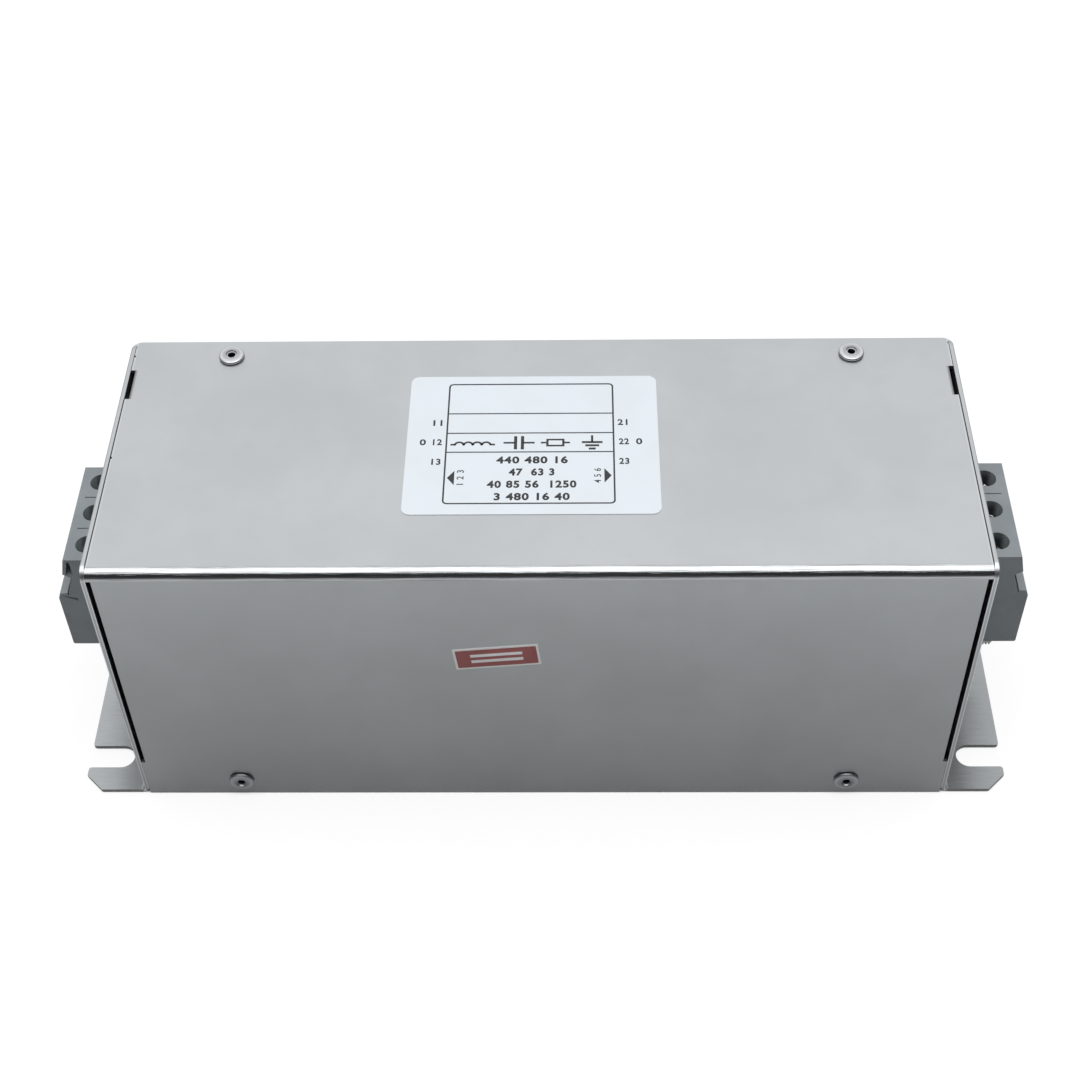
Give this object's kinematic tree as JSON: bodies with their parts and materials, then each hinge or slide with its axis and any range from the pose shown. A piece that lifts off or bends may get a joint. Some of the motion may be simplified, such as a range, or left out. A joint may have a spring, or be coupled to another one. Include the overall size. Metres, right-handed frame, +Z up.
{
  "type": "emi line filter",
  "caption": "Mains line filter in a folded sheet-steel case with open-slotted mounting flanges, and a feed-through screw terminal block and an earth stud at each end.",
  "frame": {"origin": "centre of the mounting face, on the surface that the filter is screwed to", "axes": "+X from the line end to the load end, +Y from the front panel to the back wall, +Z up out of the mounting face"},
  "size_m": [0.2314, 0.0765, 0.0845],
  "materials": {
    "chassis_steel": "zinc-coated sheet, satin",
    "cover_steel": "zinc-coated sheet, satin",
    "rivet_metal": "bright, pressed",
    "mandrel_steel": "dark, broken end",
    "label_film": "printed polyester film, satin",
    "sticker_film": "printed paper, semi-gloss",
    "block_moulding": "grey moulded polyamide, fine texture",
    "clamp_brass": "nickel-plated brass",
    "plated_steel": "zinc-plated, bright",
    "tinned_copper": "tin-plated copper bar",
    "insulating_film": "translucent film",
    "board_laminate": "green solder mask, semi-gloss",
    "ferrite": "sintered, matt",
    "choke_moulding": "black moulded",
    "separator_moulding": "pale board",
    "enamelled_copper": "enamelled copper wire, glossy",
    "capacitor_moulding": "moulded box, glossy",
    "resistor_body": "lacquered"
  },
  "bodies": {
    "root": {"chassis": "chassis_steel", "cover": "cover_steel", "cover_rivets": "rivet_metal", "rivet_mandrels": "mandrel_steel", "rating_label": "label_film", "front_sticker": "sticker_film", "line_pole_1": "block_moulding", "line_pole_2": "block_moulding", "line_pole_3": "block_moulding", "load_pole_1": "block_moulding", "load_pole_2": "block_moulding", "load_pole_3": "block_moulding", "line_clamp_cages": "clamp_brass", "load_clamp_cages": "clamp_brass", "line_clamp_screws": "plated_steel", "load_clamp_screws": "plated_steel", "line_bar_1": "tinned_copper", "line_bar_2": "tinned_copper", "line_bar_3": "tinned_copper", "load_bar_1": "tinned_copper", "load_bar_2": "tinned_copper", "load_bar_3": "tinned_copper", "earth_studs": "plated_steel", "earth_flat_washers": "plated_steel", "earth_spring_washers": "plated_steel", "earth_nuts": "plated_steel", "board_standoffs": "plated_steel", "board_screws": "plated_steel", "floor_insulator": "insulating_film", "main_board": "board_laminate", "choke_core": "ferrite", "core_case": "choke_moulding", "core_case_lid": "choke_moulding", "choke_cradle": "choke_moulding", "phase_separator": "separator_moulding", "phase_winding_1": "enamelled_copper", "phase_winding_2": "enamelled_copper", "phase_winding_3": "enamelled_copper", "line_capacitor_1": "capacitor_moulding", "line_capacitor_2": "capacitor_moulding", "line_capacitor_3": "capacitor_moulding", "load_capacitor_1": "capacitor_moulding", "load_capacitor_2": "capacitor_moulding", "load_capacitor_3": "capacitor_moulding", "line_earth_capacitors": "capacitor_moulding", "load_earth_capacitors": "capacitor_moulding", "discharge_resistors": "resistor_body"}
  },
  "joints": []
}
